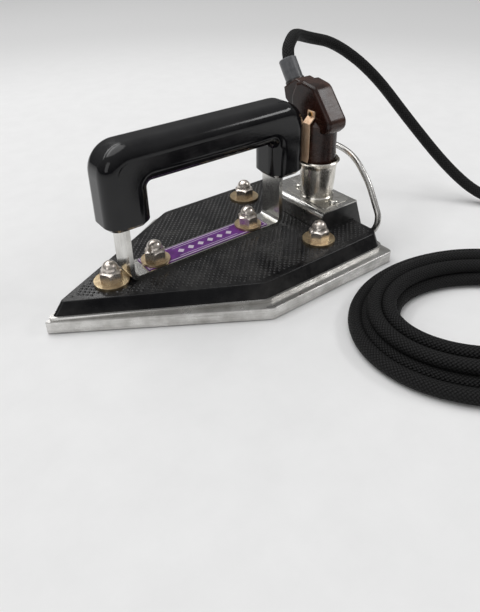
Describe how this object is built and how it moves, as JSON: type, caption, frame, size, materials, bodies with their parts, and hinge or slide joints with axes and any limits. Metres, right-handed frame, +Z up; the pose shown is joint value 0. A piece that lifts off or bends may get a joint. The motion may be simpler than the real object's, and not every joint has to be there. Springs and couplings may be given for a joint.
{
  "type": "clothes iron",
  "caption": "Heavy wedge-soled laundry iron with a U-shaped grip on a steel strap, a wire heel rest and a plug-in connector on a braided mains cord lying in a coil.",
  "frame": {"origin": "middle of the sole's ironing face, on the surface it stands on", "axes": "+X from the nose to the heel, +Y to the side away from the cord's coil, +Z up"},
  "size_m": [0.3798, 0.3674, 0.1474],
  "materials": {
    "sole_steel": "polished",
    "cast_block": "bright machined",
    "mica": "satin",
    "resistance_ribbon": "satin",
    "insulation": "matte",
    "black_enamel": "gloss, lightly dimpled on top",
    "stud_steel": "satin",
    "washer_zinc": "yellow passivated",
    "nickel": "polished",
    "strap_steel": "satin",
    "label_purple": "satin print on foil",
    "grip_bakelite": "gloss",
    "box_enamel": "satin",
    "cover_sheet": "satin",
    "ceramic": "matte",
    "contact_brass": "satin",
    "connector_bakelite": "satin",
    "earth_copper": "worn",
    "sleeve_grey": "satin",
    "cord_braid": "woven",
    "plug_rubber": "matte"
  },
  "bodies": {
    "iron": {"soleplate": "sole_steel", "pressure_plate": "cast_block", "lower_mica": "mica", "heating_element": "resistance_ribbon", "upper_mica": "mica", "insulation_board": "insulation", "top_cover": "black_enamel", "clamp_studs": "stud_steel", "strap_studs": "stud_steel", "clamp_washers": "washer_zinc", "strap_washers": "washer_zinc", "clamp_nuts": "nickel", "strap_nuts": "nickel", "handle_strap": "strap_steel", "name_plate": "label_purple", "handle_grip": "grip_bakelite", "grip_pins": "stud_steel", "terminal_box": "box_enamel", "terminal_cover": "cover_sheet", "inlet_insulator": "ceramic", "pin_bushes": "ceramic", "inlet_pins": "contact_brass", "shroud_flange": "nickel", "flange_screws": "nickel", "shroud": "nickel", "heel_rest_loop": "nickel", "cord_tail": "cord_braid", "cord_coil": "cord_braid", "mains_plug_gland": "plug_rubber", "mains_plug_body": "plug_rubber", "mains_plug_pins": "nickel"},
    "connector": {"connector_front_half": "connector_bakelite", "connector_rear_half": "connector_bakelite", "connector_screws": "contact_brass", "contact_tubes": "contact_brass", "contact_leads": "contact_brass", "earth_springs": "earth_copper", "spring_rivets": "contact_brass", "cord_sleeve": "sleeve_grey", "sleeve_ferrule": "nickel", "cord_tube": "cord_braid"}
  },
  "joints": [
    {"name": "connector_slide", "type": "slide", "parent": "iron", "child": "connector", "axis": [0, 0, 1], "range_m": [0, 0.045]}
  ]
}
